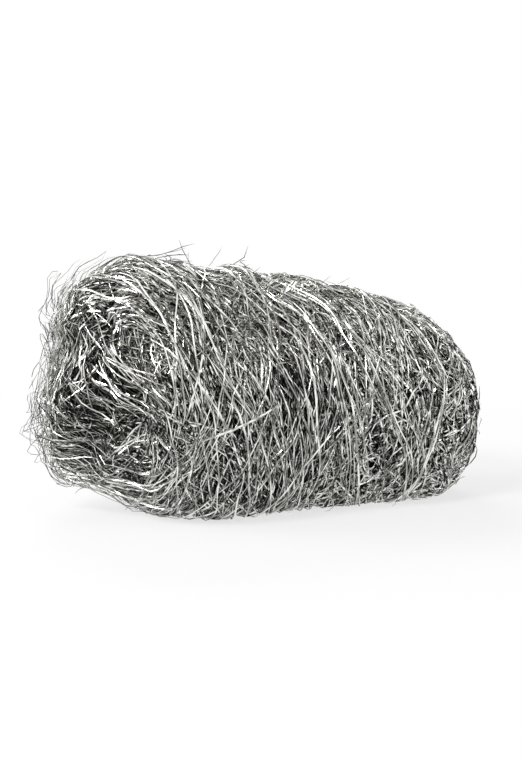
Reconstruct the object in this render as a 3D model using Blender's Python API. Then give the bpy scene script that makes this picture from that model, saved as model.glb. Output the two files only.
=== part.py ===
"""A steel wool pad: one batt of extra coarse wool, rolled up and lying on its side.

Metres, +Z up. The roll's axis runs along X, its fuller end is at -X, and the pad rests on a
flat spot at z = 0 with the origin under its middle. The wool is one springy mass, so it is one solid.
"""

import math

import bmesh
import bpy
from mathutils import Vector

# The roll, over its wool; the heights are those before its underside is pressed flat
PAD_LENGTH = 0.106
NEAR_WIDTH = 0.069
NEAR_HEIGHT = 0.065
FAR_WIDTH = 0.050
FAR_HEIGHT = 0.046
NEAR_SHOULDER_TOP = 0.020
NEAR_SHOULDER_UNDER = 0.033
FAR_SHOULDER = 0.018
FLAT_SPOT_WIDTH = 0.027

# The batt that is rolled up, seen as a spiral on both ends
BATT_THICKNESS = 0.009
TURN_WAVER = 0.0012
TURN_WAVER_LOBES = 3
TURN_GROOVE_DEPTH = 0.0026
EYE_RADIUS = 0.0055
EYE_DEPTH = 0.004
EYE_RISE = 0.003
END_DOME = 0.003

# Where the near end's inner turns have sunk: for each place its angle round the axis, how far in
# from the roll's side, its spread round the axis and in towards it, and its depth
SUNK_TURNS = (
    (math.radians(124), 0.0155, 0.006, 0.006, 0.0032),
    (math.radians(195), 0.0139, 0.012, 0.009, 0.0040),
)

# The batt's outer end, along the lower back of the roll, and its loose corner at the near end
FLAP_STEP = 0.0022
FLAP_ANGLE = math.radians(-38)
FLAP_FEATHER = math.radians(16)
CORNER_HEIGHT = 0.008
CORNER_ANGLE = math.radians(-62)
CORNER_SPREAD = 0.006
CORNER_INSET = 0.007

# Locks of strands wound round the roll, which lie over each other: how high they stand, then for
# each family the distance between locks, how far they wander along the roll, how often each turn,
# and the phase. Their spacing drifts by up to LOCK_DRIFT over each LOCK_DRIFT_LENGTH.
LOCK_HEIGHT = 0.0011
LOCK_FAMILIES = (
    (0.0098, 0.017, 1, 0.4),
    (0.0142, 0.008, 2, 2.1),
    (0.0117, 0.011, 1, 4.2),
)
LOCK_DRIFT = 0.0035
LOCK_DRIFT_LENGTH = 0.047

# Underneath the relief is crushed to this share, up to this rise of the angle's sine
CRUSHED_RELIEF = 0.2
CRUSHED_RISE = 0.3

# Slow swells along the roll, from hand rolling
SWELL_HEIGHT = 0.0006
SWELL_LENGTH = 0.075
SWELL_TWIST = 1.5
SWELL_PHASE = 0.7

# How finely the surface is drawn
STRIPS_ROUND = 64
RINGS_ALONG = 82

WOOL_GREY = (0.21, 0.21, 0.20, 1.0)
WOOL_ROUGHNESS = 0.42


def clear_scene():
    """Removes every object that the file opened with."""
    for found in list(bpy.data.objects):
        bpy.data.objects.remove(found, do_unlink=True)


def mix(first, second, share):
    """The value a share of the way from first to second."""
    return first + (second - first) * share


def ease(share):
    """A smooth step from 0 to 1."""
    held = min(max(share, 0.0), 1.0)
    return held * held * (3 - 2 * held)


def half_sizes(x):
    """Half the roll's width and height where it is cut at x."""
    share = min(max(x / PAD_LENGTH + 0.5, 0.0), 1.0)
    return mix(NEAR_WIDTH, FAR_WIDTH, share) / 2, mix(NEAR_HEIGHT, FAR_HEIGHT, share) / 2


def sunk_depth(half_width, half_height):
    """How far an oval has to be pressed into the table to make the flat spot."""
    chord = min(FLAT_SPOT_WIDTH / 2 / half_width, 1.0)
    return half_height * (1 - math.sqrt(1 - chord * chord))


def near_shoulder(angle):
    """How round the near end's rim is at an angle: the wool sags, so it is rounder underneath."""
    return mix(NEAR_SHOULDER_UNDER, NEAR_SHOULDER_TOP, (math.sin(angle) + 1) / 2)


def profile_length(shoulder, reach):
    """The way from an end's middle, out over its face and round its shoulder."""
    return reach - shoulder + shoulder * math.pi / 2


def end_profile(travel, shoulder, reach):
    """One end's outline: how far in from the tip, how far in from the side, and how much it faces out.

    travel starts at 0 in the middle of the end face; reach is the roll's radius there.
    """
    face = reach - shoulder
    if travel <= face:
        return 0.0, reach - travel, math.pi / 2
    turned = min((travel - face) / shoulder, math.pi / 2)
    facing = math.pi / 2 - turned
    return shoulder * (1 - math.sin(facing)), shoulder * (1 - math.cos(facing)), facing


def station(share, angle):
    """The outline at a share of the way over the roll, from the near end's middle to the far one's.

    Returns x, the distance in from the side, the angle that the surface has turned towards an
    end, and which end that is: -1 for the near one, 1 for the far one.
    """
    near_reach = (NEAR_WIDTH + NEAR_HEIGHT) / 4
    far_reach = (FAR_WIDTH + FAR_HEIGHT) / 4
    shoulder = near_shoulder(angle)
    near_way = profile_length(shoulder, near_reach)
    far_way = profile_length(FAR_SHOULDER, far_reach)
    end_plane = PAD_LENGTH / 2 - END_DOME
    side = 2 * end_plane - shoulder - FAR_SHOULDER
    travel = share * (near_way + side + far_way)
    if travel < near_way:
        tip_gap, inset, facing = end_profile(travel, shoulder, near_reach)
        return tip_gap - end_plane, inset, facing, -1
    if travel < near_way + side:
        return shoulder + travel - near_way - end_plane, 0.0, 0.0, -1
    left = near_way + side + far_way - travel
    tip_gap, inset, facing = end_profile(left, FAR_SHOULDER, far_reach)
    return end_plane - tip_gap, inset, facing, 1


def lock_relief(x, angle):
    """The locks that run round the roll and cross: the tallest one shows, and hollows lie between."""
    heights = []
    for spacing, wander, times, phase in LOCK_FAMILIES:
        drift = LOCK_DRIFT * math.sin(math.tau * x / LOCK_DRIFT_LENGTH + angle + phase)
        across = x + drift + wander * math.sin(times * angle + phase)
        heights.append(math.sin(math.tau * across / spacing + phase))
    return LOCK_HEIGHT * max(heights)


def uncrushed(angle):
    """How much of its relief the wool keeps: little underneath, where the pad's weight lies on it."""
    return mix(CRUSHED_RELIEF, 1.0, ease((math.sin(angle) + 1) / CRUSHED_RISE))


def swell(x, angle):
    """Broad unevenness of a pad rolled up by hand."""
    twist = SWELL_TWIST * math.sin(angle + SWELL_PHASE)
    return SWELL_HEIGHT * math.sin(math.tau * x / SWELL_LENGTH + twist)


def flap(angle):
    """How far the side stands out at an angle: the batt's end laps over, then falls back in a turn."""
    turned = ((angle - FLAP_ANGLE) % math.tau) / math.tau
    fall = FLAP_STEP * (0.5 - turned)
    lap = FLAP_STEP * (1 - ease(turned * math.tau / FLAP_FEATHER))
    return fall - lap


def turn_groove(from_axis, angle):
    """How deep the gap between two turns of the batt is, on an end face."""
    outer = (NEAR_WIDTH + NEAR_HEIGHT) / 4
    waver = TURN_WAVER * math.sin(TURN_WAVER_LOBES * angle)
    turns = (outer - from_axis + waver) / BATT_THICKNESS + (angle - FLAP_ANGLE) / math.tau
    gap = 0.5 + 0.5 * math.cos(math.tau * turns)
    return TURN_GROOVE_DEPTH * gap * ease((from_axis - EYE_RADIUS / 2) / EYE_RADIUS)


def end_relief(from_axis, angle):
    """The shape of an end face: domed wool, the gaps between turns and the eye of the roll."""
    outer = (NEAR_WIDTH + NEAR_HEIGHT) / 4
    dome = END_DOME * (1 - (from_axis / outer) ** 2)
    eye = EYE_DEPTH * math.exp(-((from_axis / EYE_RADIUS) ** 2))
    return dome - eye - turn_groove(from_axis, angle)


def sunk_turns(inset, angle):
    """How deep the near end's inner turns have sunk at a place on its face."""
    reach = (NEAR_WIDTH + NEAR_HEIGHT) / 4
    depth = 0.0
    for middle_angle, middle_inset, spread_round, spread_in, deepest in SUNK_TURNS:
        turned = (angle - middle_angle + math.pi) % math.tau - math.pi
        across = turned * (reach - inset) / spread_round
        inwards = (inset - middle_inset) / spread_in
        depth += deepest * math.exp(-across * across - inwards * inwards)
    return depth


def loose_corner(x, inset, angle):
    """The batt's outer corner, which stands out from the near shoulder."""
    tip_x = CORNER_INSET - PAD_LENGTH / 2
    near_side = NEAR_HEIGHT / 2 - inset
    turned = (angle - CORNER_ANGLE + math.pi) % math.tau - math.pi
    away = math.hypot(x - tip_x, turned * near_side)
    return CORNER_HEIGHT * math.exp(-((away / CORNER_SPREAD) ** 2))


def wool_point(share, angle):
    """A point of the pad's surface, before its soft underside is pressed flat."""
    x, inset, facing, end = station(share, angle)
    half_width, half_height = half_sizes(x)
    middle = (half_width + half_height) / 2
    from_axis = max(middle - inset, 0.0)
    outwards, endwards = math.cos(facing), math.sin(facing)
    raised = outwards * (lock_relief(x, angle) + swell(x, angle)) * uncrushed(angle)
    raised += outwards * flap(angle) + endwards**2 * end_relief(from_axis, angle)
    if end < 0:
        raised += loose_corner(x, inset, angle) - sunk_turns(inset, angle)
    reach = (from_axis + outwards * raised) / middle
    drop = half_height - sunk_depth(half_width, half_height)
    lifted = EYE_RISE * endwards**2 * (1 - ease(from_axis / middle))
    return Vector((
        x + end * endwards * raised,
        half_width * reach * math.cos(angle),
        drop + lifted + half_height * reach * math.sin(angle),
    ))


def press_flat(mesh):
    """Rests the soft underside on the table at z = 0."""
    for vertex in mesh.verts:
        vertex.co.z = max(vertex.co.z, 0.0)


def centre_over_origin(mesh):
    """Moves the pad so that the origin is under the middle of its outline."""
    for axis in (0, 1):
        places = [vertex.co[axis] for vertex in mesh.verts]
        middle = (min(places) + max(places)) / 2
        for vertex in mesh.verts:
            vertex.co[axis] -= middle


def wool_material():
    """Bare low-carbon steel, shaved into strands."""
    material = bpy.data.materials.new("coarse_steel_wool")
    material.use_nodes = True
    surface = material.node_tree.nodes["Principled BSDF"]
    surface.inputs["Base Color"].default_value = WOOL_GREY
    surface.inputs["Metallic"].default_value = 1.0
    surface.inputs["Roughness"].default_value = WOOL_ROUGHNESS
    return material


def build_wool_roll(collection):
    """The rolled batt, from a ball whose poles become the middles of the two ends."""
    wool = bmesh.new()
    bmesh.ops.create_uvsphere(
        wool, u_segments=STRIPS_ROUND, v_segments=RINGS_ALONG, radius=1.0
    )
    for vertex in wool.verts:
        pole_angle = math.acos(min(max(vertex.co.z, -1.0), 1.0))
        angle = math.atan2(vertex.co.y, vertex.co.x)
        vertex.co = wool_point(1 - pole_angle / math.pi, angle)
    press_flat(wool)
    centre_over_origin(wool)
    mesh = bpy.data.meshes.new("wool_roll")
    wool.to_mesh(mesh)
    wool.free()
    mesh.shade_smooth()
    mesh.materials.append(wool_material())
    pad = bpy.data.objects.new("wool_roll", mesh)
    collection.objects.link(pad)
    return pad


def main():
    """Builds the pad in a collection of its own."""
    clear_scene()
    collection = bpy.data.collections.new("steel_wool_pad")
    bpy.context.scene.collection.children.link(collection)
    build_wool_roll(collection)


main()
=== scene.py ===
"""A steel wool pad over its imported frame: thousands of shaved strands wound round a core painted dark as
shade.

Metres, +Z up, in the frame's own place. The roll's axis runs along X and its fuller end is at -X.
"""

import logging
import math
from dataclasses import dataclass, field
from enum import Enum
from functools import partial
from typing import Any, Callable, Mapping, Optional, Sequence

import bmesh
import bpy
from bpy.types import Material, Node, NodeSocket, NodeTree, Object
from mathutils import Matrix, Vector


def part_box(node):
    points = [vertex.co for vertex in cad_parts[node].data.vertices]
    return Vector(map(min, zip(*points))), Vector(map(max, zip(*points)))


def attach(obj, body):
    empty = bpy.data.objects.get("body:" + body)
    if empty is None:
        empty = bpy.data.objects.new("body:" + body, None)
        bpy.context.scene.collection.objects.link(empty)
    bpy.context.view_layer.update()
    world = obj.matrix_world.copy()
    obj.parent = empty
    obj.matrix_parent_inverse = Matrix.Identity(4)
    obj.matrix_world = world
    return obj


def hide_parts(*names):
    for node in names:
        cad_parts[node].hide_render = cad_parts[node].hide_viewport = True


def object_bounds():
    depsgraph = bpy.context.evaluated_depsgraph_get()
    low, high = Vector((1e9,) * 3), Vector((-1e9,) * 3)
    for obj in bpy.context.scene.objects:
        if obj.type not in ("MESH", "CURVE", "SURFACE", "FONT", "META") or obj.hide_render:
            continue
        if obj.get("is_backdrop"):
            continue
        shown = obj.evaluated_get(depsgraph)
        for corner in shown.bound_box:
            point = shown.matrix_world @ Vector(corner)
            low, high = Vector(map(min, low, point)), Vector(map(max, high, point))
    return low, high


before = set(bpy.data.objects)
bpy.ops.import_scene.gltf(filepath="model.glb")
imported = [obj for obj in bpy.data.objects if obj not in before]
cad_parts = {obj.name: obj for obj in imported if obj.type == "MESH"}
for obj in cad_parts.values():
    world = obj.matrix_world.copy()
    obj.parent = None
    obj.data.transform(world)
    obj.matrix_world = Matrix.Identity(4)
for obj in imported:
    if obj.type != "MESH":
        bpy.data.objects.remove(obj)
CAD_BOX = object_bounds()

logging.basicConfig(level=logging.INFO, format="%(name)s: %(message)s")
LOG = logging.getLogger("steel_wool_pad")

WOOL_NODE = "wool_roll"
WOOL_BODY = "root"
STRAND_MAP = "OFBake"
QUARTER = math.pi / 2
NOISE_MIDDLE = (0.5, 0.5, 0.5)

MATH = "ShaderNodeMath"
VECTOR = "ShaderNodeVectorMath"
RANGE = "ShaderNodeMapRange"
PARTS = "ShaderNodeSeparateXYZ"
JOINED = "ShaderNodeCombineXYZ"
NOISE = "ShaderNodeTexNoise"


def add_node(
    tree: NodeTree,
    kind: str,
    inputs: Optional[Mapping[Any, Any]] = None,
    **settings: Any,
) -> Node:
    """Adds a node to a tree, with its settings and links.

    Args:
        tree: The node tree that gets the node.
        kind: The node's type.
        inputs: For each input, by name or number: a value, a socket, or a node whose first
            output feeds it.
        settings: Properties of the node, such as its operation.

    Returns:
        The new node.
    """
    node = tree.nodes.new(kind)
    for name, value in settings.items():
        setattr(node, name, value)
    for key, value in (inputs or {}).items():
        if isinstance(value, Node):
            value = value.outputs[0]
        if isinstance(value, NodeSocket):
            tree.links.new(value, node.inputs[key])
        else:
            node.inputs[key].default_value = value
    return node


def steel_colour(hex_code: str) -> tuple[float, float, float, float]:
    """Turns an sRGB hex colour into the linear one that shaders take.

    Args:
        hex_code: Six hex digits, such as "8c8c88".

    Returns:
        Linear red, green, blue and an alpha of 1.
    """
    shares = [int(hex_code[place : place + 2], 16) / 255 for place in (0, 2, 4)]
    linear = [s / 12.92 if s <= 0.04045 else ((s + 0.055) / 1.055) ** 2.4 for s in shares]
    return (linear[0], linear[1], linear[2], 1.0)


def add_object(name: str, data: bpy.types.ID) -> Object:
    """Adds an object to the scene.

    Args:
        name: Its name.
        data: Its mesh, camera or light.

    Returns:
        The object, at the origin.
    """
    thing = bpy.data.objects.new(name, data)
    bpy.context.scene.collection.objects.link(thing)
    return thing


@dataclass(frozen=True)
class ShavedSteel:
    """Bare low-carbon steel, shaved from wire: clean, grey and slightly warm, bright in the light.

    The knife leaves each strand a little different, so its gloss varies from strand to strand, and slowly
    along each one, and so does its tone: a tone lasts about 5 mm of a usual strand. The tone is partly
    that random difference and partly painted light: painted glints along each strand, a painted highlight
    at its bright end and painted shade at its dull end.
    """

    name: str
    dull_hex: str
    bright_hex: str
    gloss_roughness: float
    matt_roughness: float
    usual_strand: float = 0.050
    tone_length: float = 0.005
    tones_across: float = 90.0
    dullest: float = 0.44
    brightest: float = 0.60

    def material(self) -> Material:
        """Makes the finish on the strands' own map: U runs along a strand and V sets its tone.

        Returns:
            The material.
        """
        steel = bpy.data.materials.new(self.name)
        steel.use_nodes = True
        tree = steel.node_tree
        surface = tree.nodes["Principled BSDF"]
        strand_map = add_node(tree, "ShaderNodeUVMap", uv_map=STRAND_MAP)
        # The noise along each strand paints glints on it, and across the rows it gives each strand its own
        # tone.
        scale = (self.usual_strand / self.tone_length, self.tones_across, 1.0)
        scaled = add_node(tree, "ShaderNodeMapping", {"Vector": strand_map, "Scale": scale})
        pattern = {"Vector": scaled, "Scale": 1.0, "Detail": 1.0}
        tone = add_node(tree, NOISE, pattern, noise_dimensions="2D")
        shade = add_node(tree, RANGE, {0: tone, 1: self.dullest, 2: self.brightest})
        tones = {0: shade, 6: steel_colour(self.dull_hex), 7: steel_colour(self.bright_hex)}
        colour = add_node(tree, "ShaderNodeMix", tones, data_type="RGBA")
        gloss = add_node(tree, RANGE, {0: shade, 3: self.matt_roughness, 4: self.gloss_roughness})
        tree.links.new(colour.outputs[2], surface.inputs["Base Color"])
        tree.links.new(gloss.outputs[0], surface.inputs["Roughness"])
        surface.inputs["Metallic"].default_value = 1.0
        return steel


# Five tones of the steel, each with painted light. The white one is a painted highlight, brighter than
# bare steel.
# The bright one runs from painted shade up to painted glints. Finer, rougher strands are grey, with milder
# painted glints.
# The grey one is darkened as painted shade for strands lying deeper, and the dark one is painted shade for
# the inner ones.
HIGHLIGHT_STEEL = ShavedSteel("painted_highlight_shaved_steel", "a8a8a4", "fcfcf8", 0.20, 0.36)
GLINT_AND_SHADE_STEEL = ShavedSteel("bright_shaved_steel", "20201f", "fafaf6", 0.22, 0.42)
FINE_STEEL = ShavedSteel("fine_shaved_steel", "545451", "dadad4", 0.26, 0.46)
GREY_PAINTED_SHADE_STEEL = ShavedSteel("grey_painted_shade_shaved_steel", "1c1c1b", "8c8c86", 0.28, 0.48)
INNER_SHADE_STEEL = ShavedSteel("inner_painted_shade_shaved_steel", "0b0b0a", "363634", 0.38, 0.58)
FINISHES = (HIGHLIGHT_STEEL, GLINT_AND_SHADE_STEEL, FINE_STEEL, GREY_PAINTED_SHADE_STEEL, INNER_SHADE_STEEL)


@dataclass(frozen=True)
class PackedSteel:
    """The same steel, packed inside the roll, with a fine tangled relief, and dark with painted shade.

    Its streaks lie as far apart as the strands do in there, about 0.9 mm, and run round the roll
    two ways. Each run is its turn about Z and its stretch.
    """

    name: str = "packed_steel_painted_shade"
    # Both tones are far darker than bare steel: painted shade of the wool inside the roll.
    shade_hex: str = "1c1c1b"
    light_hex: str = "6a6a66"
    strand_spacing: float = 0.0009
    relief: float = 0.0006
    roughness: float = 0.55
    darkest: float = 0.5
    lightest: float = 0.78
    runs: Sequence[tuple[float, tuple[float, float, float]]] = (
        (0.35, (1.0, 0.16, 0.16)),
        (-0.5, (1.0, 0.22, 0.22)),
    )

    def material(self) -> Material:
        """Makes the finish from stretched noise on Object coordinates.

        Returns:
            The material.
        """
        steel = bpy.data.materials.new(self.name)
        steel.use_nodes = True
        tree = steel.node_tree
        surface = tree.nodes["Principled BSDF"]
        place = add_node(tree, "ShaderNodeTexCoord").outputs["Object"]
        scale = 0.5 / self.strand_spacing
        heights = []
        for turned, stretch in self.runs:
            laid = {"Vector": place, "Rotation": (0.0, 0.0, turned), "Scale": stretch}
            run = add_node(tree, "ShaderNodeMapping", laid)
            streaks = {"Vector": run, "Scale": scale, "Detail": 2.0, "Distortion": 0.6}
            heights.append(add_node(tree, NOISE, streaks))
        tangle = add_node(tree, MATH, {0: heights[0], 1: heights[1]}, operation="MAXIMUM")
        shade = add_node(tree, RANGE, {0: tangle, 1: self.darkest, 2: self.lightest})
        tones = {0: shade, 6: steel_colour(self.shade_hex), 7: steel_colour(self.light_hex)}
        colour = add_node(tree, "ShaderNodeMix", tones, data_type="RGBA")
        relief = add_node(tree, "ShaderNodeBump", {"Height": tangle, "Distance": self.relief})
        tree.links.new(colour.outputs[2], surface.inputs["Base Color"])
        tree.links.new(relief.outputs[0], surface.inputs["Normal"])
        surface.inputs["Metallic"].default_value = 1.0
        surface.inputs["Roughness"].default_value = self.roughness
        return steel


@dataclass(frozen=True)
class Hollow:
    """A place where the wool sinks in between turns of the batt: its middle, spread and depth."""

    middle: tuple[float, float, float]
    spread: tuple[float, float, float]
    depth: float

    def depth_at(self, place: Vector) -> float:
        """Works out how deep the wool sinks.

        Args:
            place: A place on the wool.

        Returns:
            The depth there.
        """
        away = sum(((a - m) / s) ** 2 for a, m, s in zip(place, self.middle, self.spread))
        return self.depth * math.exp(-away)


@dataclass
class WoolBody:
    """The rolled batt's form, copied from the frame's solid, which every strand is laid on."""

    hollow: Hollow
    core_depth: float = 0.0034
    merge_distance: float = 0.00001
    smoothing: int = 2
    smoothing_share: float = 0.5
    rest_gap: float = 0.0004

    def guide(self) -> Object:
        """Makes the closed mesh that strands are laid on, with its hollow pressed in.

        Returns:
            An object that is removed once the strands are made.
        """
        mesh = bpy.data.objects[WOOL_NODE].data.copy()
        form = bmesh.new()
        form.from_mesh(mesh)
        bmesh.ops.remove_doubles(form, verts=form.verts, dist=self.merge_distance)
        for _ in range(self.smoothing):
            bmesh.ops.smooth_vert(
                form, verts=form.verts, factor=self.smoothing_share,
                use_axis_x=True, use_axis_y=True, use_axis_z=True,
            )
        form.normal_update()
        inwards = {spot: spot.normal * self.hollow.depth_at(spot.co) for spot in form.verts}
        for vertex, move in inwards.items():
            vertex.co -= move
            vertex.co.z = max(vertex.co.z, 0.0)
        form.to_mesh(mesh)
        form.free()
        return add_object("strand_guide", mesh)

    def core(self, guide: Object, finish: PackedSteel) -> Object:
        """Makes the inner mass, dark with painted shade, a little way inside the surface that the strands
        are laid on.

        Args:
            guide: The mesh that strands are laid on.
            finish: What the core is made of.

        Returns:
            The core, which stands for the frame's plain solid.
        """
        form = bmesh.new()
        form.from_mesh(guide.data)
        form.normal_update()
        inwards = {vertex: vertex.normal * self.core_depth for vertex in form.verts}
        for vertex, move in inwards.items():
            vertex.co -= move
            vertex.co.z = max(vertex.co.z, self.rest_gap)
        mesh = bpy.data.meshes.new("wool_core")
        form.to_mesh(mesh)
        form.free()
        mesh.shade_smooth()
        mesh.materials.append(finish.material())
        return add_object("wool_core", mesh)


class Input(Enum):
    """The single inputs of a tree that lays strands: each one's name and its kind of socket."""

    BODY = ("Body", "NodeSocketObject")
    STEEL = ("Steel", "NodeSocketMaterial")
    SEED = ("Seed", "NodeSocketInt")
    COUNT = ("Strand Count", "NodeSocketInt")
    BEND = ("Bend", "NodeSocketFloat")
    WANDER = ("Wander", "NodeSocketFloat")
    CURL_LENGTH = ("Curl Length", "NodeSocketFloat")
    LOCK_SHIFT = ("Lock Shift", "NodeSocketFloat")
    LOCK_WIDTH = ("Lock Width", "NodeSocketFloat")
    LOCK_RELIEF = ("Lock Relief", "NodeSocketFloat")
    LIFT = ("End Lift", "NodeSocketFloat")
    STEP = ("Step", "NodeSocketFloat")
    ROUNDED = ("Rounded", "NodeSocketBool")


class Span(Enum):
    """What each strand draws by chance between two of the tree's inputs, which it names."""

    LENGTH = ("Shortest", "Longest")
    ALONG = ("From Along", "To Along")
    ROUND = ("From Round", "To Round")
    SLANT = ("Least Slant", "Most Slant")
    DEPTH = ("Least Depth", "Most Depth")
    THICKNESS = ("Thinnest", "Thickest")


class Lay(Enum):
    """How a tree lays its strands: wound round the side, or swirled over the end at -X or +X."""

    WOUND = 0
    NEAR_END = -1
    FAR_END = 1


@dataclass(frozen=True)
class RollForm:
    """The line that strands wind round: its two ends and its height at each, and the roll's radius.

    Past an end of the line, a strand's way along turns over the end of the roll towards its middle.
    """

    near_x: float
    far_x: float
    near_z: float
    far_z: float
    radius: float
    end_radius: float
    near_y: float = 0.0
    bent_until: float = 0.0
    clear_of_body: float = 0.07


@dataclass
class StrandTree:
    """A Geometry Nodes tree that lays strands over a body, each with its own place and run.

    Each strand starts as a straight line of points. The tree gives every point a way along and
    round the roll, moves it there by a ray towards the roll's axis, and draws three flat sides
    round it, because a strand shaved from wire is about triangular.

    Each strand draws nine random numbers. Three place it (round, along, length), three lean it
    (slant, depth, thickness) and three are its look (roll, tone, loose end).
    """

    lay: Lay
    form: RollForm
    points_each: int = 40
    draws_apart: int = 101
    strands_apart: float = 3.71
    layers_apart: float = 0.37
    tone_rows: int = 128
    thin_bias: float = 2.2
    tapers_past: float = 0.36
    tip_share: float = 0.3
    lift_power: float = 2.0
    wave_height: float = 0.35
    least_swirl_radius: float = 0.009
    rest_gap: float = 0.0004
    tree: NodeTree = field(init=False)
    add: Callable[..., Node] = field(init=False)
    given: dict[Input, NodeSocket] = field(init=False)
    spans: dict[Span, list[NodeSocket]] = field(init=False)
    number: Node = field(init=False)
    place: list[NodeSocket] = field(init=False)
    lean: list[NodeSocket] = field(init=False)
    look: list[NodeSocket] = field(init=False)

    def build(self) -> NodeTree:
        """Builds the whole tree.

        Returns:
            The tree, with its named inputs.
        """
        name = f"strands_{self.lay.name.lower()}"
        self.tree = bpy.data.node_groups.new(name, "GeometryNodeTree")
        add = self.add = partial(add_node, self.tree)
        sockets = self.tree.interface
        sockets.new_socket("Geometry", in_out="INPUT", socket_type="NodeSocketGeometry")
        for entry in Input:
            sockets.new_socket(entry.value[0], in_out="INPUT", socket_type=entry.value[1])
        for label in (label for span in Span for label in span.value):
            sockets.new_socket(label, in_out="INPUT", socket_type="NodeSocketFloat")
        sockets.new_socket("Geometry", in_out="OUTPUT", socket_type="NodeSocketGeometry")
        given = add("NodeGroupInput").outputs
        self.given = {entry: given[entry.value[0]] for entry in Input}
        self.spans = {span: [given[label] for label in span.value] for span in Span}

        points = add("GeometryNodePoints", {"Count": self.given[Input.COUNT]})
        line = add("GeometryNodeCurvePrimitiveLine")
        straight = add("GeometryNodeResampleCurve", {"Curve": line, "Count": self.points_each})
        copies = add("GeometryNodeInstanceOnPoints", {"Points": points, "Instance": straight})
        strands = add("GeometryNodeRealizeInstances", {"Geometry": copies})
        index = add("GeometryNodeInputIndex")
        self.number = add("GeometryNodeFieldOnDomain", {0: index}, domain="CURVE", data_type="INT")
        self.place, self.lean, self.look = (self.chances(draw) for draw in range(3))
        laid = add("GeometryNodeSetPosition", {"Geometry": strands, "Position": self.positions()})
        smooth = add("GeometryNodeCurveSplineType", {"Curve": laid}, spline_type="CATMULL_ROM")
        steps = {"Curve": smooth, "Length": self.given[Input.STEP]}
        stepped = add("GeometryNodeResampleCurve", steps, mode="LENGTH")
        place = add("GeometryNodeInputPosition")
        off_floor = add(VECTOR, {0: place, 1: (-1.0, -1.0, self.rest_gap)}, operation="MAXIMUM")
        rested = add("GeometryNodeSetPosition", {"Geometry": stepped, "Position": off_floor})
        add("NodeGroupOutput", {0: self.thickened(rested)})
        return self.tree

    def chances(self, draw: int) -> list[NodeSocket]:
        """Draws three even random numbers for each strand.

        Args:
            draw: Which draw this is, which sets it apart from the others.

        Returns:
            The three numbers.
        """
        add = self.add
        apart = float(draw * self.draws_apart)
        seed = add(MATH, {0: self.given[Input.SEED], 1: apart}, operation="ADD")
        drawn_from = {"ID": self.number, "Seed": seed}
        drawn = add("FunctionNodeRandomValue", drawn_from, data_type="FLOAT_VECTOR")
        return list(add(PARTS, {0: drawn}).outputs)

    def between(self, chance: NodeSocket, span: Span) -> Node:
        """The value that a random number picks between a span's two inputs."""
        least, most = self.spans[span]
        return self.add(RANGE, {0: chance, 3: least, 4: most})

    def positions(self) -> Node:
        """Works out where each point of each strand goes.

        Returns:
            The node that gives the position.
        """
        add = self.add
        factor = add("GeometryNodeSplineParameter")
        length = self.between(self.place[2], Span.LENGTH)
        from_middle = add(MATH, {0: factor, 1: 0.5}, operation="SUBTRACT")
        travel = add(MATH, {0: from_middle, 1: length}, operation="MULTIPLY")
        slant = self.between(self.lean[0], Span.SLANT)
        wander = self.wander(travel)
        if self.lay is Lay.WOUND:
            outwards, hit, lock = self.wound_way(travel, slant, wander)
        else:
            outwards, hit, lock = self.end_way(travel, slant, wander)
        depth = self.between(self.lean[1], Span.DEPTH)
        standing = add(PARTS, {0: lock}).outputs[0]
        relief = self.given[Input.LOCK_RELIEF]
        raised = add(MATH, {0: standing, 1: relief}, operation="MULTIPLY")
        loose = add(MATH, {0: factor, 1: self.lift_power}, operation="POWER")
        looseness = self.look[2]
        own_lift = add(MATH, {0: looseness, 1: self.given[Input.LIFT]}, operation="MULTIPLY")
        lifted = add(MATH, {0: loose, 1: own_lift, 2: raised}, operation="MULTIPLY_ADD")
        strayed = add(PARTS, {0: wander}).outputs[2]
        waves = {0: strayed, 1: self.wave_height, 2: lifted}
        waved = add(MATH, waves, operation="MULTIPLY_ADD")
        height = add(MATH, {0: waved, 1: depth}, operation="SUBTRACT")
        off_body = add(VECTOR, {0: outwards, "Scale": height}, operation="SCALE")
        return add(VECTOR, {0: hit, 1: off_body}, operation="ADD")

    def wander(self, travel: Node) -> Node:
        """Draws how far each strand strays from its run: a slow curl of its own, three ways.

        Args:
            travel: How far each point is from its strand's middle.

        Returns:
            The node that gives the way that it strays.
        """
        add = self.add
        seed = self.given[Input.SEED]
        curl_at = add(MATH, {0: travel, 1: self.given[Input.CURL_LENGTH]}, operation="DIVIDE")
        own = add(MATH, {0: self.number, 1: self.strands_apart}, operation="MULTIPLY")
        set_apart = add(MATH, {0: seed, 1: self.layers_apart}, operation="MULTIPLY")
        place = add(JOINED, {0: curl_at, 1: own, 2: set_apart})
        curl = add(NOISE, {"Vector": place, "Scale": 1.0, "Detail": 1.0}).outputs["Color"]
        centred = add(VECTOR, {0: curl, 1: NOISE_MIDDLE}, operation="SUBTRACT")
        return add(VECTOR, {0: centred, "Scale": self.given[Input.WANDER]}, operation="SCALE")

    def lock(self, place: Node) -> Node:
        """Draws one slow pattern by place, so that neighbouring strands gather in locks.

        Args:
            place: Where each point is, in widths of a lock.

        Returns:
            The node that gives the pattern, three ways.
        """
        add = self.add
        drawn = add(NOISE, {"Vector": place, "Scale": 1.0, "Detail": 2.0, "Roughness": 0.45})
        return add(VECTOR, {0: drawn.outputs["Color"], 1: NOISE_MIDDLE}, operation="SUBTRACT")

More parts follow.
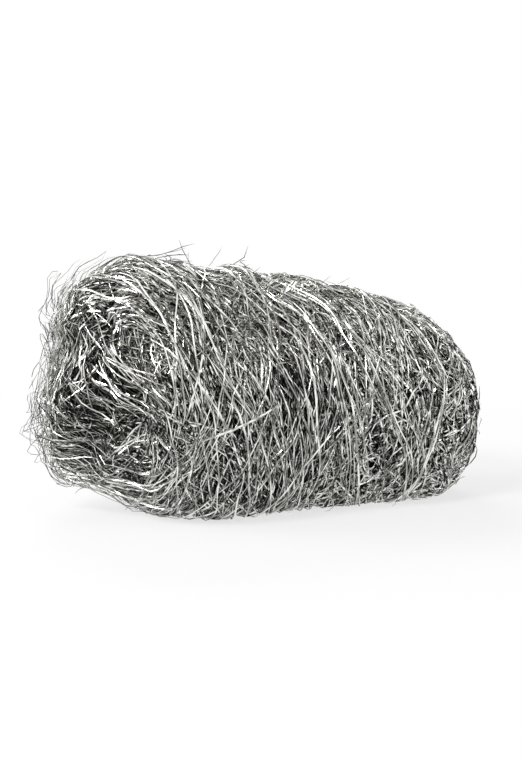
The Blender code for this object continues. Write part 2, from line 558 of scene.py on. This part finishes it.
    def wound_way(self, travel: Node, slant: Node, wander: Node) -> tuple[Node, NodeSocket, Node]:
        """Winds strands round the roll's side, each at its own slant.

        Args:
            travel: How far each point is from its strand's middle.
            slant: Each strand's angle to a square turn.
            wander: How far it strays.

        Returns:
            The direction outwards at each point, its place on the body, and its lock.
        """
        add = self.add
        strayed = add(PARTS, {0: wander})
        across = add(MATH, {0: slant}, operation="SINE")
        turning = add(MATH, {0: slant}, operation="COSINE")
        start = self.between(self.place[1], Span.ALONG)
        drift = add(MATH, {0: travel, 1: across, 2: start}, operation="MULTIPLY_ADD")
        along = add(MATH, {0: drift, 1: strayed.outputs[0]}, operation="ADD")
        wound = add(MATH, {0: travel, 1: turning, 2: strayed.outputs[1]}, operation="MULTIPLY_ADD")
        turned = add(MATH, {0: wound, 1: self.form.radius}, operation="DIVIDE")
        begun = self.between(self.place[0], Span.ROUND)
        angle = add(MATH, {0: begun, 1: turned}, operation="ADD")
        cosine = add(MATH, {0: angle}, operation="COSINE")
        sine = add(MATH, {0: angle}, operation="SINE")
        lock_along = add(MATH, {0: along, 1: self.given[Input.LOCK_WIDTH]}, operation="DIVIDE")
        lock = self.lock(add(JOINED, {0: lock_along, 1: cosine, 2: sine}))
        gathered = add(PARTS, {0: lock}).outputs[1]
        shift = {0: gathered, 1: self.given[Input.LOCK_SHIFT], 2: along}
        shifted = add(MATH, shift, operation="MULTIPLY_ADD")
        on_axis = add("ShaderNodeClamp", {0: shifted, 1: self.form.near_x, 2: self.form.far_x})
        past_end = add(MATH, {0: shifted, 1: on_axis}, operation="SUBTRACT")
        over = add(MATH, {0: past_end, 1: self.form.end_radius}, operation="DIVIDE")
        endwards = add(MATH, {0: over}, operation="SINE")
        sidewards = add(MATH, {0: over}, operation="COSINE")
        level = add(MATH, {0: sidewards, 1: cosine}, operation="MULTIPLY")
        upright = add(MATH, {0: sidewards, 1: sine}, operation="MULTIPLY")
        outwards = add(JOINED, {0: endwards, 1: level, 2: upright})
        return outwards, self.met(self.axis_point(on_axis), outwards), lock

    def axis_point(self, along: Node) -> Node:
        """Finds a place on the roll's bent axis.

        Args:
            along: How far along the roll it is.

        Returns:
            The node that gives the place.
        """
        add = self.add
        form = self.form
        rise = {0: along, 1: form.near_x, 2: form.far_x, 3: form.near_z, 4: form.far_z}
        bend = {0: along, 1: form.near_x, 2: form.bent_until, 3: form.near_y, 4: 0.0}
        height = add(RANGE, rise)
        aside = add(RANGE, bend, interpolation_type="SMOOTHSTEP")
        return add(JOINED, {0: along, 1: aside, 2: height})

    def end_way(self, travel: Node, slant: Node, wander: Node) -> tuple[Node, NodeSocket, Node]:
        """Swirls strands over one end: on a flat disc, which is then laid over the rounded end.

        Rings are drawn by the root of an even number, which spreads them evenly over the disc.

        Args:
            travel: How far each point is from its strand's middle.
            slant: Each strand's angle to a ring round the swirl's middle.
            wander: How far it strays.

        Returns:
            The direction outwards at each point, its place on the body, and its lock.
        """
        add = self.add
        begun = self.between(self.place[0], Span.ROUND)
        evened = add(MATH, {0: self.place[1], 1: 0.5}, operation="POWER")
        ring = self.between(evened.outputs[0], Span.ALONG)
        cosine = add(MATH, {0: begun}, operation="COSINE")
        sine = add(MATH, {0: begun}, operation="SINE")
        spoke = add(JOINED, {0: 0.0, 1: cosine, 2: sine})
        tangent = add(VECTOR, {0: (1.0, 0.0, 0.0), 1: spoke}, operation="CROSS_PRODUCT")
        leaning = {"Vector": tangent, "Axis": (-1.0, 0.0, 0.0), "Angle": slant}
        heading = add("ShaderNodeVectorRotate", leaning)
        sideways = add(VECTOR, {0: (1.0, 0.0, 0.0), 1: heading}, operation="CROSS_PRODUCT")
        held = add(MATH, {0: ring, 1: self.least_swirl_radius}, operation="MAXIMUM")
        squared = add(MATH, {0: travel, 1: travel}, operation="MULTIPLY")
        share = add(MATH, {0: squared, 1: held}, operation="DIVIDE")
        bend = add(MATH, {0: share, 1: self.given[Input.BEND]}, operation="MULTIPLY")
        start = add(VECTOR, {0: spoke, "Scale": ring}, operation="SCALE")
        run = add(VECTOR, {0: heading, "Scale": travel}, operation="SCALE")
        bent = add(VECTOR, {0: sideways, "Scale": bend}, operation="SCALE")
        straight = add(VECTOR, {0: start, 1: run}, operation="ADD")
        curved = add(VECTOR, {0: straight, 1: bent}, operation="ADD")
        strayed = add(VECTOR, {0: curved, 1: wander}, operation="ADD")
        lock_size = add(MATH, {0: 1.0, 1: self.given[Input.LOCK_WIDTH]}, operation="DIVIDE")
        lock_place = add(VECTOR, {0: strayed, "Scale": lock_size}, operation="SCALE")
        lock = self.lock(lock_place)
        shift = add(VECTOR, {0: lock, "Scale": self.given[Input.LOCK_SHIFT]}, operation="SCALE")
        gathered = add(VECTOR, {0: strayed, 1: shift}, operation="ADD")
        on_disc = add(VECTOR, {0: gathered, 1: (0.0, 1.0, 1.0)}, operation="MULTIPLY")
        reach = add(VECTOR, {0: on_disc}, operation="LENGTH")
        unit = add(VECTOR, {0: on_disc}, operation="NORMALIZE")
        over = add(MATH, {0: reach.outputs["Value"], 1: self.form.end_radius}, operation="DIVIDE")
        sidewards = add(MATH, {0: over}, operation="SINE")
        facing = add(MATH, {0: over}, operation="COSINE")
        outer = add(VECTOR, {0: unit, "Scale": sidewards}, operation="SCALE")
        facing_end = add(MATH, {0: facing, 1: float(self.lay.value)}, operation="MULTIPLY")
        forwards = add(JOINED, {0: facing_end, 1: 0.0, 2: 0.0})
        outwards = add(VECTOR, {0: outer, 1: forwards}, operation="ADD")
        form = self.form
        near_end, far_end = (form.near_x, form.near_y, form.near_z), (form.far_x, 0.0, form.far_z)
        middle = near_end if self.lay is Lay.NEAR_END else far_end
        axis_point = add(JOINED, dict(enumerate(middle)))
        return outwards, self.met(axis_point, outwards), lock

    def met(self, axis_point: Node, outwards: Node) -> NodeSocket:
        """Finds where a line from the axis leaves the body, by a ray from outside towards the axis.

        Args:
            axis_point: The line's start, on the axis.
            outwards: Its direction.

        Returns:
            The place on the body.
        """
        add = self.add
        reach = add(VECTOR, {0: outwards, "Scale": self.form.clear_of_body}, operation="SCALE")
        source = add(VECTOR, {0: axis_point, 1: reach}, operation="ADD")
        inwards = add(VECTOR, {0: outwards, "Scale": -1.0}, operation="SCALE")
        body = {"Object": self.given[Input.BODY]}
        shape = add("GeometryNodeObjectInfo", body, transform_space="RELATIVE")
        ray = {
            "Target Geometry": shape.outputs["Geometry"],
            "Source Position": source,
            "Ray Direction": inwards,
            "Ray Length": self.form.clear_of_body,
        }
        return add("GeometryNodeRaycast", ray).outputs["Hit Position"]

    def thickened(self, strands: Node) -> Node:
        """Gives each strand its three sides, its thickness, its thin ends, its map and its steel.

        Args:
            strands: The laid strands.

        Returns:
            The node that gives the finished strands.
        """
        add = self.add
        factor = add("GeometryNodeSplineParameter")
        to_end = add(MATH, {0: factor, 1: 0.5}, operation="SUBTRACT")
        off_middle = add(MATH, {0: to_end}, operation="ABSOLUTE")
        tapers = {0: off_middle, 1: self.tapers_past, 2: 0.5, 3: 1.0, 4: self.tip_share}
        taper = add(RANGE, tapers)
        mostly_thin = add(MATH, {0: self.lean[2], 1: self.thin_bias}, operation="POWER")
        thick = self.between(mostly_thin.outputs[0], Span.THICKNESS)
        across = add(MATH, {0: thick, 1: taper}, operation="MULTIPLY")
        rolled = add(MATH, {0: self.look[0], 1: math.tau}, operation="MULTIPLY")
        tilted = add("GeometryNodeSetCurveTilt", {"Curve": strands, "Tilt": rolled})
        rows = float(self.tone_rows)
        row = add(MATH, {0: self.look[1], 1: rows}, operation="MULTIPLY")
        whole_row = add(MATH, {0: row}, operation="FLOOR")
        kept = add("GeometryNodeCaptureAttribute", {"Geometry": tilted})
        for name, source in (("along", factor), ("row", whole_row)):
            kept.capture_items.new("FLOAT", name)
            self.tree.links.new(source.outputs[0], kept.inputs[name])
        sides = add("GeometryNodeCurvePrimitiveCircle", {"Resolution": 3, "Radius": 0.5})
        rounds = add("GeometryNodeCaptureAttribute", {"Geometry": sides})
        rounds.capture_items.new("FLOAT", "round")
        self.tree.links.new(add("GeometryNodeSplineParameter").outputs[0], rounds.inputs["round"])
        drawn = {"Curve": kept, "Profile Curve": rounds, "Scale": across, "Fill Caps": True}
        solid = add("GeometryNodeCurveToMesh", drawn)
        within = add(MATH, {0: kept.outputs["row"], 1: rounds.outputs["round"]}, operation="ADD")
        tone = add(MATH, {0: within, 1: rows}, operation="DIVIDE")
        spot = add(JOINED, {0: kept.outputs["along"], 1: tone, 2: 0.0})
        stored = {"Geometry": solid, "Name": STRAND_MAP, "Value": spot}
        kind = "GeometryNodeStoreNamedAttribute"
        mapped = add(kind, stored, data_type="FLOAT2", domain="CORNER")
        shading = {"Geometry": mapped, "Shade Smooth": self.given[Input.ROUNDED]}
        shaded = add("GeometryNodeSetShadeSmooth", shading)
        whole = add("GeometryNodeRealizeInstances", {"Geometry": shaded})
        dressing = {"Geometry": whole, "Material": self.given[Input.STEEL]}
        return add("GeometryNodeSetMaterial", dressing)


@dataclass(frozen=True)
class Locks:
    """How strands gather in locks: how far they shift, a lock's width and how far it stands out."""

    shift: float = 0.012
    width: float = 0.016
    relief: float = 0.003


SIDE_LOCKS = Locks(0.006, 0.022, 0.0022)
SWIRL_LOCKS = Locks(0.006)
CROSSING_LOCKS = Locks(0.003, relief=0.001)


@dataclass
class StrandLayer:
    """One layer of strands: how many, how long and thick, where they lie and how they run.

    Over an end, along is a strand's distance from the swirl's middle, and bend is how much it
    curves. Depth is measured inwards from the guide. Real strands of extra coarse wool are about
    0.1 mm thick. They are drawn up to six times that, because finer ones vanish between the
    render's pixels.
    """

    name: str
    count: int
    finish: ShavedSteel
    seed: int
    lay: Lay
    along: tuple[float, float]
    length: tuple[float, float] = (0.030, 0.070)
    round_from: tuple[float, float] = (0.0, math.tau)
    slant: tuple[float, float] = (-0.5, 0.5)
    bend: float = 0.5
    depth: tuple[float, float] = (0.0, 0.001)
    thickness: tuple[float, float] = (0.00025, 0.0005)
    wander: float = 0.004
    curl: float = 0.018
    locks: Locks = Locks()
    lift: float = 0.0
    step: float = 0.0024
    rounded: bool = False

    def build(self, tree: NodeTree, guide: Object, steel: Material) -> Object:
        """Lays the strands and turns them into a plain mesh.

        Args:
            tree: The tree that lays strands.
            guide: The mesh that they are laid on.
            steel: What they are made of.

        Returns:
            The layer.
        """
        singles = {
            Input.BODY: guide,
            Input.STEEL: steel,
            Input.SEED: self.seed,
            Input.COUNT: self.count,
            Input.BEND: -self.bend / 2,
            Input.WANDER: self.wander,
            Input.CURL_LENGTH: self.curl,
            Input.LOCK_SHIFT: self.locks.shift,
            Input.LOCK_WIDTH: self.locks.width,
            Input.LOCK_RELIEF: self.locks.relief,
            Input.LIFT: self.lift,
            Input.STEP: self.step,
            Input.ROUNDED: self.rounded,
        }
        spans = {
            Span.LENGTH: self.length,
            Span.ALONG: self.along,
            Span.ROUND: self.round_from,
            Span.SLANT: self.slant,
            Span.DEPTH: self.depth,
            Span.THICKNESS: self.thickness,
        }
        values = {entry.value[0]: value for entry, value in singles.items()}
        for span, ends in spans.items():
            values.update(zip(span.value, ends))
        layer = add_object(self.name, bpy.data.meshes.new(f"{self.name}_seed"))
        maker = layer.modifiers.new("laid_strands", "NODES")
        maker.node_group = tree
        for socket in tree.interface.items_tree:
            if socket.in_out == "INPUT" and socket.name in values:
                maker[socket.identifier] = values[socket.name]
        evaluated = layer.evaluated_get(bpy.context.evaluated_depsgraph_get())
        mesh = bpy.data.meshes.new_from_object(evaluated)
        mesh.name = self.name
        layer.modifiers.remove(maker)
        layer.data = mesh
        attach(layer, WOOL_BODY)
        triangles = sum(len(face.vertices) - 2 for face in mesh.polygons)
        LOG.info("%s: %d strands, %d triangles", self.name, self.count, triangles)
        return layer


@dataclass(frozen=True)
class MarkedStrand:
    """One bright strand that stands out on the side that shows, placed by its middle."""

    middle_x: float
    middle_round: float
    slant: float
    length: float
    thickness: float
    first_seed: int = 40

    def layer(self, number: int) -> StrandLayer:
        """Makes the strand a layer of its own.

        Args:
            number: Its number among the marked strands.

        Returns:
            The layer.
        """
        return StrandLayer(
            f"marked_strand_{number}", 1, HIGHLIGHT_STEEL, self.first_seed + number, lay=Lay.WOUND,
            along=(self.middle_x, self.middle_x), round_from=(self.middle_round, self.middle_round),
            slant=(self.slant, self.slant), length=(self.length, self.length),
            thickness=(self.thickness, self.thickness), depth=(-0.0016, -0.0014),
            wander=0.006, curl=0.022, locks=Locks(0.0, 0.022, 0.0022),
        )


@dataclass(frozen=True)
class SoftLamp:
    """A square soft light: where it hangs round the pad, how large it is and how strong."""

    name: str
    azimuth: float
    elevation: float
    distance: float
    size: float
    watts: float


@dataclass
class Studio:
    """A plain pale floor, soft light at a plain level and the camera at the photograph's angle."""

    azimuth: float = math.radians(-29)
    elevation: float = math.radians(6.5)
    distance: float = 0.41
    frame_width: float = 0.124
    aim: tuple[float, float, float] = (0.0, 0.0, 0.029)
    sensor: float = 36.0
    nearest_seen: float = 0.01
    floor_reach: float = 3.0
    shaded_until: float = 0.09
    white_from: float = 0.22
    least_white: float = 0.70
    room_light: float = 0.4
    lamps: Sequence[SoftLamp] = (
        SoftLamp("key_light", -60, 36, 0.8, 0.20, 3.4),
        SoftLamp("fill_light", 30, 30, 1.1, 0.40, 1.6),
        SoftLamp("top_light", 160, 38, 0.7, 0.30, 1.5),
        SoftLamp("edge_light", -120, 15, 0.6, 0.30, 2.4),
    )

    def build(self) -> None:
        """Makes the camera, the floor, the light and the surroundings."""
        self.make_camera()
        self.make_floor()
        for lamp in self.lamps:
            self.hang(lamp)
        self.make_world()

    def towards(self, azimuth: float, elevation: float) -> Vector:
        """Works out the direction from the pad to the camera or a lamp.

        Args:
            azimuth: Its angle round the pad from the front, in radians.
            elevation: Its height over the floor, in radians.

        Returns:
            The direction, of length 1.
        """
        level = math.cos(elevation)
        return Vector((math.sin(azimuth) * level, -math.cos(azimuth) * level, math.sin(elevation)))

    def make_camera(self) -> None:
        """Places the camera so that the pad nearly fills the frame's width."""
        data = bpy.data.cameras.new("camera")
        data.sensor_fit = "HORIZONTAL"
        data.sensor_width = self.sensor
        data.lens = self.sensor * self.distance / self.frame_width
        data.clip_start = self.nearest_seen
        camera = add_object("camera", data)
        direction = self.towards(self.azimuth, self.elevation)
        camera.location = Vector(self.aim) + direction * self.distance
        camera.rotation_euler = direction.to_track_quat("Z", "Y").to_euler()
        bpy.context.scene.camera = camera

    def make_floor(self) -> None:
        """Makes a white floor, which keeps the pad's shadow and meets the surroundings unseen."""
        mesh = bpy.data.meshes.new("floor")
        form = bmesh.new()
        bmesh.ops.create_grid(form, x_segments=1, y_segments=1, size=self.floor_reach)
        form.to_mesh(mesh)
        form.free()
        mesh.materials.append(self.white_card())
        floor = add_object("floor", mesh)
        floor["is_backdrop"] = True

    def white_card(self) -> Material:
        """Makes the floor's card: matt paint near the pad, and plain white away from it.

        Returns:
            The material.
        """
        card = bpy.data.materials.new("white_card")
        card.use_nodes = True
        tree = card.node_tree
        tree.nodes.clear()
        place = add_node(tree, "ShaderNodeTexCoord").outputs["Object"]
        away = add_node(tree, VECTOR, {0: place}, operation="LENGTH").outputs["Value"]
        fade = {0: away, 1: self.shaded_until, 2: self.white_from, 3: self.least_white, 4: 1.0}
        whiter = add_node(tree, RANGE, fade)
        share = add_node(tree, MATH, {0: whiter, 1: self.looked_at(tree)}, operation="MULTIPLY")
        paint = add_node(tree, "ShaderNodeBsdfDiffuse", {"Color": steel_colour("f4f4f4")})
        glow = {"Color": steel_colour("ffffff"), "Strength": 1.0}
        white = add_node(tree, "ShaderNodeEmission", glow)
        mixed = add_node(tree, "ShaderNodeMixShader", {0: share, 1: paint, 2: white})
        add_node(tree, "ShaderNodeOutputMaterial", {0: mixed})
        return card

    def looked_at(self, tree: NodeTree) -> Node:
        """Says whether a camera, mirror or glass ray is looking.

        Args:
            tree: The material's or the world's tree.

        Returns:
            The node that gives 1 where one is, and otherwise 0.
        """
        path = add_node(tree, "ShaderNodeLightPath")
        rays = {0: path.outputs["Is Camera Ray"], 1: path.outputs["Is Glossy Ray"]}
        either = add_node(tree, MATH, rays, operation="MAXIMUM")
        glass = path.outputs["Is Transmission Ray"]
        return add_node(tree, MATH, {0: either, 1: glass}, operation="MAXIMUM")

    def hang(self, lamp: SoftLamp) -> None:
        """Hangs a lamp, turned to the pad."""
        data = bpy.data.lights.new(lamp.name, "AREA")
        data.energy = lamp.watts
        data.size = lamp.size
        light = add_object(lamp.name, data)
        direction = self.towards(math.radians(lamp.azimuth), math.radians(lamp.elevation))
        light.location = Vector(self.aim) + direction * lamp.distance
        light.rotation_euler = direction.to_track_quat("Z", "Y").to_euler()

    def make_world(self) -> None:
        """Surrounds the pad with even light, and with white where it is looked at."""
        world = bpy.data.worlds.new("white_tent")
        world.use_nodes = True
        tree = world.node_tree
        tree.nodes.clear()
        strength = add_node(tree, RANGE, {0: self.looked_at(tree), 3: self.room_light, 4: 1.0})
        glow = {"Color": steel_colour("ffffff"), "Strength": strength}
        light = add_node(tree, "ShaderNodeBackground", glow)
        add_node(tree, "ShaderNodeOutputWorld", {0: light})
        bpy.context.scene.world = world


@dataclass
class SteelWoolPad:
    """The pad: its form from the frame, a core painted dark as shade and the layers of strands over it."""

    low: Sequence[float]
    high: Sequence[float]
    near_turn: float = 0.028
    far_turn: float = 0.021
    near_reach: float = 0.030
    far_reach: float = 0.012
    tangle_from: float = 0.028
    near_disc: float = 0.42
    far_disc: float = 0.7
    form: RollForm = field(init=False)

    def __post_init__(self) -> None:
        """Works out the line that strands wind round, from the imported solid's box."""
        self.form = RollForm(
            near_x=self.low[0] + self.near_turn,
            far_x=self.high[0] - self.far_turn,
            near_z=0.030,
            far_z=0.023,
            radius=0.030,
            end_radius=0.028,
            near_y=-0.016,
            bent_until=0.010,
        )

    def windings(self) -> list[StrandLayer]:
        """Lists the layers wound round the side, from the inside out.

        Returns:
            The layers.
        """
        near, far = self.form.near_x - self.near_reach, self.form.far_x + self.far_reach
        tangle = self.form.near_x + self.tangle_from
        layer = partial(StrandLayer, lay=Lay.WOUND)
        return [
            layer(
                "inner_windings", 1350, INNER_SHADE_STEEL, 1, along=(near, far), slant=(-1.0, 1.0),
                depth=(0.0018, 0.0034), rounded=True,
            ),
            layer(
                "middle_windings", 1350, GREY_PAINTED_SHADE_STEEL, 2, along=(near, far), slant=(-0.5, 0.5),
                depth=(0.0008, 0.0026), thickness=(0.00020, 0.00042), locks=Locks(0.009, 0.020),
                rounded=True,
            ),
            layer(
                "outer_windings", 860, GLINT_AND_SHADE_STEEL, 3, along=(near + 0.009, tangle + 0.006),
                slant=(-0.22, 0.46), depth=(-0.0006, 0.0014), thickness=(0.00020, 0.00048),
                length=(0.034, 0.085), wander=0.0045, curl=0.022, locks=SIDE_LOCKS,
            ),
            layer(
                "long_bright_windings", 310, HIGHLIGHT_STEEL, 13, along=(near + 0.012, far - 0.014),
                slant=(-0.34, 0.55), depth=(-0.0016, -0.0004), thickness=(0.00022, 0.00052),
                length=(0.03, 0.08), wander=0.006, curl=0.024, locks=SIDE_LOCKS,
            ),
            layer(
                "outer_tangle", 2300, GLINT_AND_SHADE_STEEL, 7, along=(tangle, far), slant=(-1.2, 1.2),
                depth=(-0.0006, 0.0012), thickness=(0.00020, 0.00046), length=(0.008, 0.030),
                wander=0.009, curl=0.012,
            ),
            layer(
                "upper_crossings", 560, FINE_STEEL, 19,
                along=(self.form.near_x - 0.001, tangle + 0.030), round_from=(1.45, 2.70),
                slant=(-1.0, 1.5), depth=(-0.0010, 0.0004), thickness=(0.00016, 0.00036),
                length=(0.010, 0.034), wander=0.008, curl=0.018, locks=SIDE_LOCKS,
            ),
            layer(
                "under_crossings", 100, GLINT_AND_SHADE_STEEL, 20,
                along=(self.form.near_x + 0.001, self.form.near_x + 0.012),
                round_from=(3.25, 4.85), slant=(0.5, 1.2), depth=(-0.0008, 0.0006),
                thickness=(0.00018, 0.00046), length=(0.010, 0.026), wander=0.008, curl=0.018,
                locks=SIDE_LOCKS,
            ),
            layer(
                "bright_curls", 260, HIGHLIGHT_STEEL, 18, along=(self.form.near_x + 0.030, far),
                round_from=(1.9, 4.6), slant=(-0.8, 0.9), depth=(-0.0008, 0.0002),
                thickness=(0.00026, 0.00050), length=(0.008, 0.026), wander=0.016, curl=0.012,
                locks=SIDE_LOCKS, step=0.0018,
            ),
            # White strands along the top edge: a painted highlight, where the light from above makes the
            # rim bright.
            layer(
                "top_edge_strands", 430, HIGHLIGHT_STEEL, 8, along=(self.form.near_x + 0.024, far),
                round_from=(1.30, 1.95), slant=(-1.5, -0.7), depth=(-0.0010, 0.0006),
                thickness=(0.00018, 0.00040), length=(0.008, 0.030), wander=0.009, curl=0.014,
            ),
        ]

    def near_end(self) -> list[StrandLayer]:
        """Lists the layers over the end that shows, from the inside out.

        Returns:
            The layers.
        """
        layer = partial(StrandLayer, lay=Lay.NEAR_END)
        return [
            layer(
                "near_end_turns", 400, INNER_SHADE_STEEL, 4,
                along=(0.0, self.form.end_radius * QUARTER * self.near_disc), slant=(-1.0, 1.0),
                depth=(0.0014, 0.0032), rounded=True,
            ),
            layer(
                "near_end_under_swirl", 330, GREY_PAINTED_SHADE_STEEL, 17, along=(0.002, 0.024),
                slant=(-0.6, 0.6), depth=(0.0004, 0.0026), thickness=(0.00020, 0.00042),
                length=(0.024, 0.060), wander=0.005, curl=0.024, locks=SWIRL_LOCKS, rounded=True,
            ),
            layer(
                "near_end_swirl", 255, GLINT_AND_SHADE_STEEL, 5, along=(0.005, 0.022),
                round_from=(2.2, 7.0), slant=(-0.5, 0.5), depth=(0.0002, 0.0024),
                thickness=(0.00018, 0.00040), length=(0.024, 0.060), wander=0.006, curl=0.024,
                locks=SWIRL_LOCKS,
            ),
            layer(
                "near_end_crossings", 64, HIGHLIGHT_STEEL, 9, along=(-0.018, 0.018),
                round_from=(1.9, 2.7), slant=(-0.5, 0.5), bend=0.12, depth=(0.0, 0.0022),
                thickness=(0.00016, 0.00034), length=(0.020, 0.050), wander=0.005, curl=0.030,
                locks=CROSSING_LOCKS,
            ),
            layer(
                "top_end_crossings", 170, FINE_STEEL, 22, along=(0.020, 0.034),
                round_from=(0.7, 2.7), slant=(-1.2, 1.2), bend=0.10, depth=(-0.0012, 0.0008),
                thickness=(0.00015, 0.00032), length=(0.010, 0.028), wander=0.008, curl=0.016,
                locks=CROSSING_LOCKS,
            ),
            layer(
                "under_end_crossings", 70, GLINT_AND_SHADE_STEEL, 21, along=(0.019, 0.034),
                round_from=(3.5, 4.5), slant=(0.9, 1.5), bend=0.10, depth=(-0.0006, 0.0010),
                thickness=(0.00018, 0.00046), length=(0.012, 0.034), wander=0.006, curl=0.024,
                locks=CROSSING_LOCKS,
            ),
            layer(
                "loose_corner_strands", 110, GREY_PAINTED_SHADE_STEEL, 15, along=(0.025, 0.033),
                round_from=(-0.95, -0.60), slant=(1.1, 2.0), bend=0.1, depth=(-0.0012, 0.0006),
                thickness=(0.00012, 0.00028), length=(0.010, 0.022), locks=Locks(0.002),
                lift=0.003,
            ),
            # White strands at the near end's rim: a painted highlight, where the edge light makes the rim
            # bright.
            layer(
                "near_rim_strands", 200, HIGHLIGHT_STEEL, 14, along=(0.014, 0.036),
                round_from=(-0.75, 0.45), slant=(-0.7, 0.7), depth=(-0.0038, 0.0002),
                thickness=(0.00016, 0.00036), length=(0.015, 0.036), wander=0.008,
            ),
            layer(
                "near_end_halo", 170, GREY_PAINTED_SHADE_STEEL, 10, along=(0.016, 0.036),
                round_from=(-0.6, 0.55), slant=(-1.2, 1.2), depth=(-0.0066, -0.0010),
                thickness=(0.00011, 0.00020), length=(0.010, 0.026), wander=0.016, curl=0.009,
            ),
        ]

    def far_end(self) -> list[StrandLayer]:
        """Lists the layers over the other end, guessed to be like the first but more tangled.

        Returns:
            The layers.
        """
        disc = (0.0, self.form.end_radius * QUARTER * self.far_disc)
        layer = partial(StrandLayer, lay=Lay.FAR_END)
        return [
            layer(
                "far_end_turns", 700, GREY_PAINTED_SHADE_STEEL, 6, along=disc, slant=(-1.2, 1.2),
                depth=(0.0010, 0.0030), length=(0.02, 0.05), rounded=True,
            ),
            layer(
                "far_end_tangle", 900, GLINT_AND_SHADE_STEEL, 11, along=disc, slant=(-1.5, 1.5),
                depth=(-0.0006, 0.0014), thickness=(0.00020, 0.00042), length=(0.01, 0.034),
                wander=0.010, curl=0.012,
            ),
        ]

    def marked_strands(self) -> list[StrandLayer]:
        """Lists the bright single strands that catch the eye in the photograph.

        Returns:
            A layer for each one.
        """
        marked = (
            MarkedStrand(-0.011, 2.86, 0.34, 0.042, 0.00060),
            MarkedStrand(-0.004, 3.05, 0.16, 0.040, 0.00052),
            MarkedStrand(-0.040, 4.15, 0.90, 0.028, 0.00056),
            MarkedStrand(0.006, 3.30, -0.70, 0.030, 0.00054),
            MarkedStrand(-0.024, 3.45, -0.90, 0.026, 0.00052),
            MarkedStrand(-0.034, 4.20, 0.15, 0.030, 0.00044),
            MarkedStrand(-0.015, 3.88, 0.00, 0.028, 0.00044),
            MarkedStrand(-0.041, 2.10, 0.00, 0.040, 0.00040),
        )
        return [strand.layer(number) for number, strand in enumerate(marked, start=1)]

    def loose_ends(self) -> list[StrandLayer]:
        """Lists the single strands that stand off the wool.

        Returns:
            The layers.
        """
        layer = partial(StrandLayer, lay=Lay.WOUND)
        return [
            layer(
                "top_wisps", 12, GREY_PAINTED_SHADE_STEEL, 16, along=(-0.036, -0.006), round_from=(1.35, 1.75),
                slant=(-1.2, 1.2), depth=(-0.0010, 0.0), thickness=(0.00016, 0.00026),
                length=(0.009, 0.016), wander=0.012, curl=0.009, lift=0.009,
            ),
            layer(
                "flyaway_strands", 170, GREY_PAINTED_SHADE_STEEL, 12,
                along=(self.form.near_x - 0.018, self.form.far_x), slant=(-1.3, 1.3),
                depth=(-0.0006, 0.0004), thickness=(0.00012, 0.00020), length=(0.006, 0.018),
                wander=0.010, curl=0.010, lift=0.006,
            ),
        ]

    def build(self) -> None:
        """Makes the core and every layer, and logs each one's name and counts."""
        # At the far side of the near end's rim, dense wool lies deep under a few loose strands.
        rim = (self.low[0] + 0.006, 0.021, 0.030)
        body = WoolBody(Hollow(rim, spread=(0.013, 0.013, 0.023), depth=0.0085))
        guide = body.guide()
        core = body.core(guide, PackedSteel())
        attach(core, WOOL_BODY)
        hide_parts(WOOL_NODE)
        LOG.info("%s: %d faces", core.name, len(core.data.polygons))
        trees = {lay: StrandTree(lay, self.form).build() for lay in Lay}
        steels = {finish: finish.material() for finish in FINISHES}
        layers = self.windings() + self.near_end() + self.far_end()
        layers += self.marked_strands() + self.loose_ends()
        for layer in layers:
            layer.build(trees[layer.lay], guide, steels[layer.finish])
        for tree in trees.values():
            bpy.data.node_groups.remove(tree)
        bpy.data.objects.remove(guide, do_unlink=True)


def write_sizes() -> None:
    """Works out the frame's box and the visual model's box as plain lists of numbers."""
    boxes = {"cad": CAD_BOX, "visual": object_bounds()}
    plain = {name: [[float(number) for number in corner] for corner in box] for name, box in boxes.items()}


def main() -> None:
    """Builds the pad, then the studio."""
    low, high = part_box(WOOL_NODE)
    SteelWoolPad(low, high).build()
    Studio().build()
    bpy.context.scene.view_settings.view_transform = "Standard"
    write_sizes()


if __name__ == "__main__":
    main()
